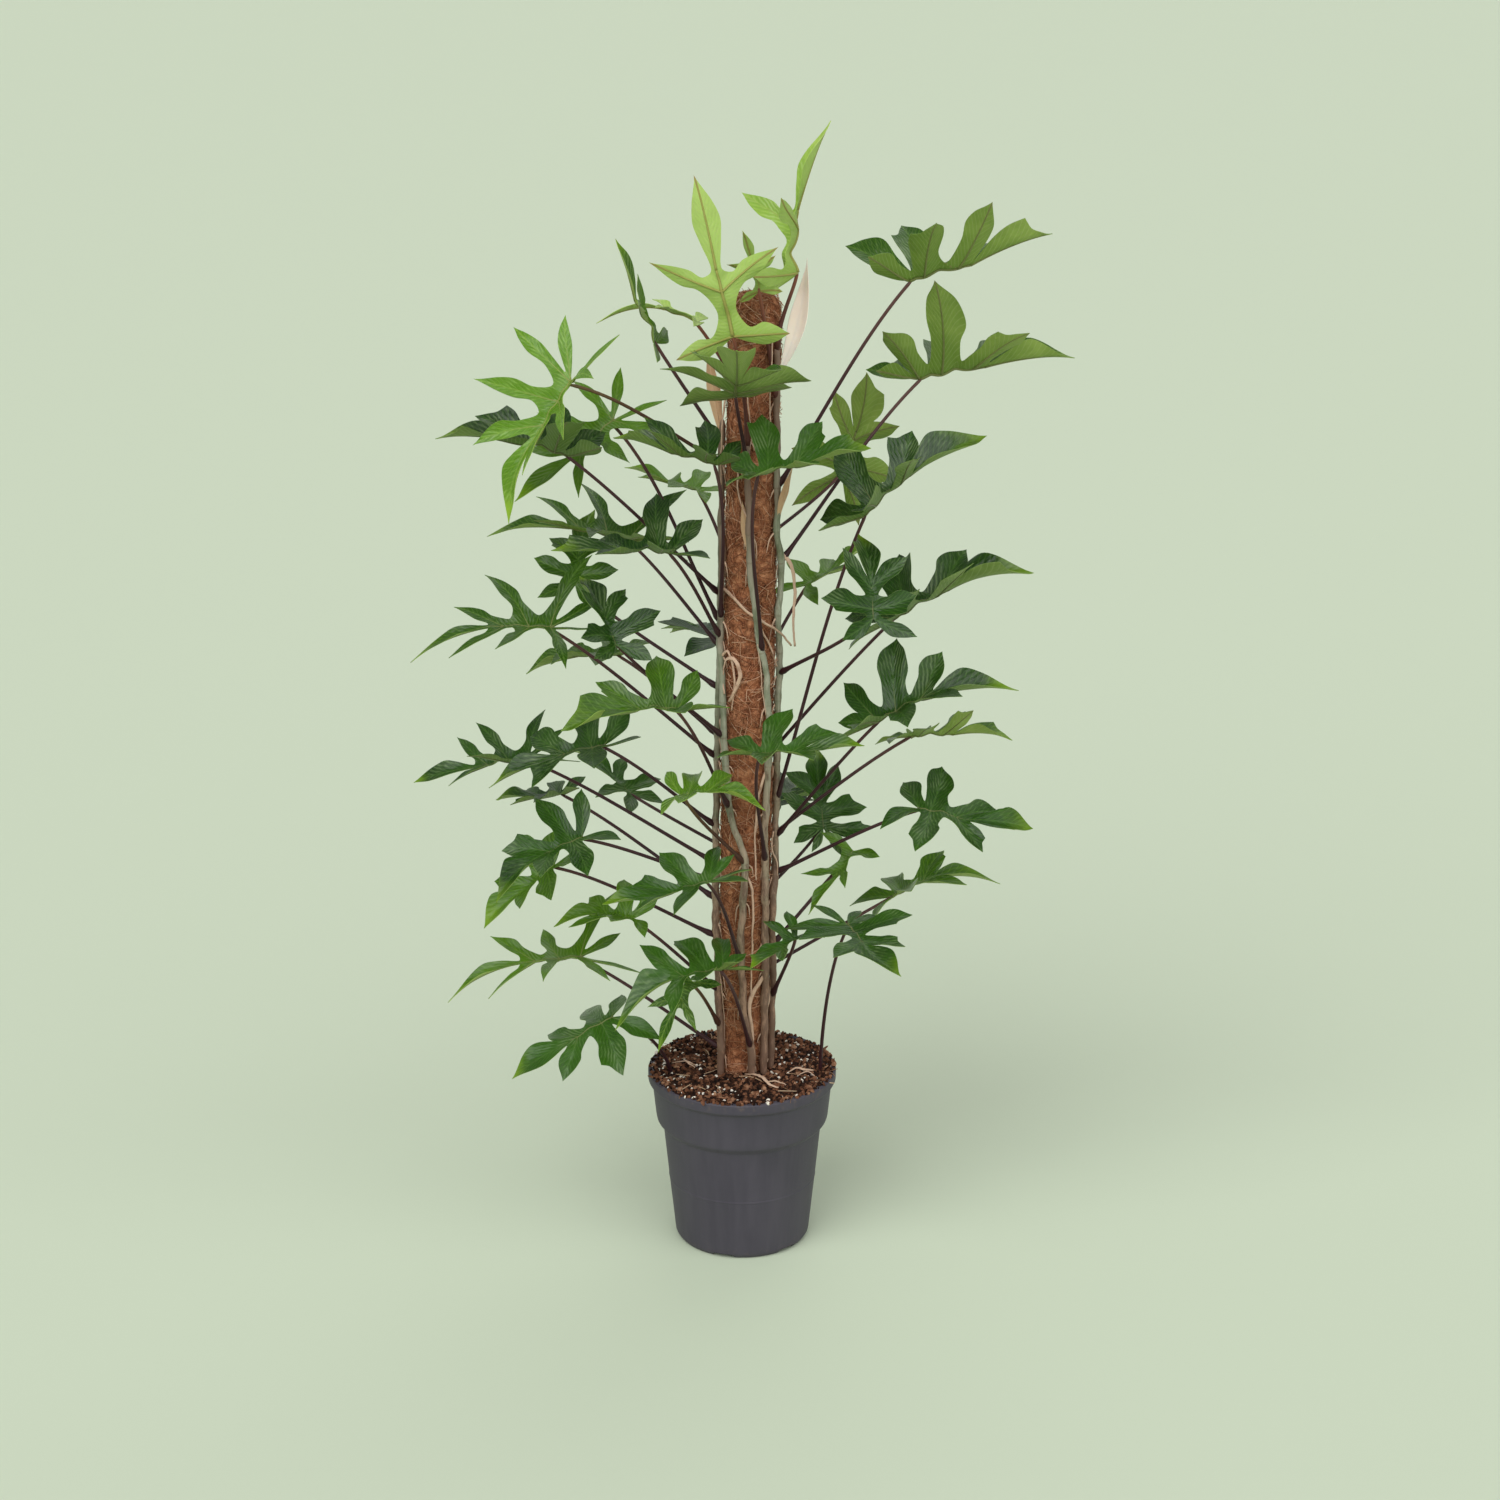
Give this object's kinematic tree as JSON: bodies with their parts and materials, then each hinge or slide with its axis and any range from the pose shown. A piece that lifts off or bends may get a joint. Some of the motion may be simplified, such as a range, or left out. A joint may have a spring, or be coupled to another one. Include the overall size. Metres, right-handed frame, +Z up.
{
  "type": "potted climbing plant",
  "caption": "Oakleaf philodendron climbing a coir pole in a round nursery pot: deeply lobed leaves on long stalks, standing on the pot's flat base.",
  "frame": {"origin": "centre of the pot's underside, on the surface it stands on", "axes": "+Z up along the plant, the longest extent; -Y the side that faces the camera; +X to its right"},
  "size_m": [0.6903, 0.5052, 1.2032],
  "materials": {
    "pot": "matte moulded",
    "soil": "crumbly",
    "coir": "fibrous",
    "stake": "raw",
    "stem": "smooth, ringed",
    "leaf_dark": "glossy",
    "leaf_mid": "glossy",
    "leaf_bright": "glossy",
    "leaf_fresh": "satin"
  },
  "bodies": {
    "root": {"pot": "pot", "soil": "soil", "coir_sleeve": "coir", "pole_stake": "stake", "stem_left": "stem", "stem_front": "stem", "stem_inner": "stem", "stem_right": "stem", "stem_back": "stem", "leaf_crown_front": "leaf_fresh", "leaf_crown_tall": "leaf_fresh", "leaf_crown_curl": "leaf_bright", "leaf_crown_dark": "leaf_dark", "leaf_crown_edge": "leaf_mid", "leaf_crown_back": "leaf_fresh", "leaf_left_a": "leaf_mid", "leaf_left_b": "leaf_bright", "leaf_left_c": "leaf_dark", "leaf_left_d": "leaf_dark", "leaf_left_e": "leaf_mid", "leaf_left_f": "leaf_mid", "leaf_left_g": "leaf_mid", "leaf_left_h": "leaf_dark", "leaf_left_i": "leaf_mid", "leaf_left_j": "leaf_mid", "leaf_left_k": "leaf_dark", "leaf_left_l": "leaf_dark", "leaf_left_m": "leaf_dark", "leaf_left_n": "leaf_dark", "leaf_left_o": "leaf_mid", "leaf_left_p": "leaf_dark", "leaf_left_q": "leaf_bright", "leaf_left_r": "leaf_dark", "leaf_left_s": "leaf_mid", "leaf_left_t": "leaf_mid", "leaf_left_u": "leaf_dark", "leaf_left_v": "leaf_dark", "leaf_left_w": "leaf_bright", "leaf_front_a": "leaf_dark", "leaf_right_a": "leaf_mid", "leaf_right_b": "leaf_mid", "leaf_right_c": "leaf_mid", "leaf_right_d": "leaf_dark", "leaf_right_e": "leaf_dark", "leaf_right_f": "leaf_dark", "leaf_right_g": "leaf_dark", "leaf_right_h": "leaf_mid", "leaf_right_i": "leaf_dark", "leaf_right_j": "leaf_mid", "leaf_right_k": "leaf_dark", "leaf_right_l": "leaf_mid", "leaf_right_m": "leaf_dark", "leaf_right_n": "leaf_dark", "leaf_right_o": "leaf_dark", "leaf_right_p": "leaf_dark", "leaf_back_a": "leaf_mid", "leaf_back_b": "leaf_mid", "leaf_back_c": "leaf_dark", "leaf_back_d": "leaf_dark"}
  },
  "joints": []
}
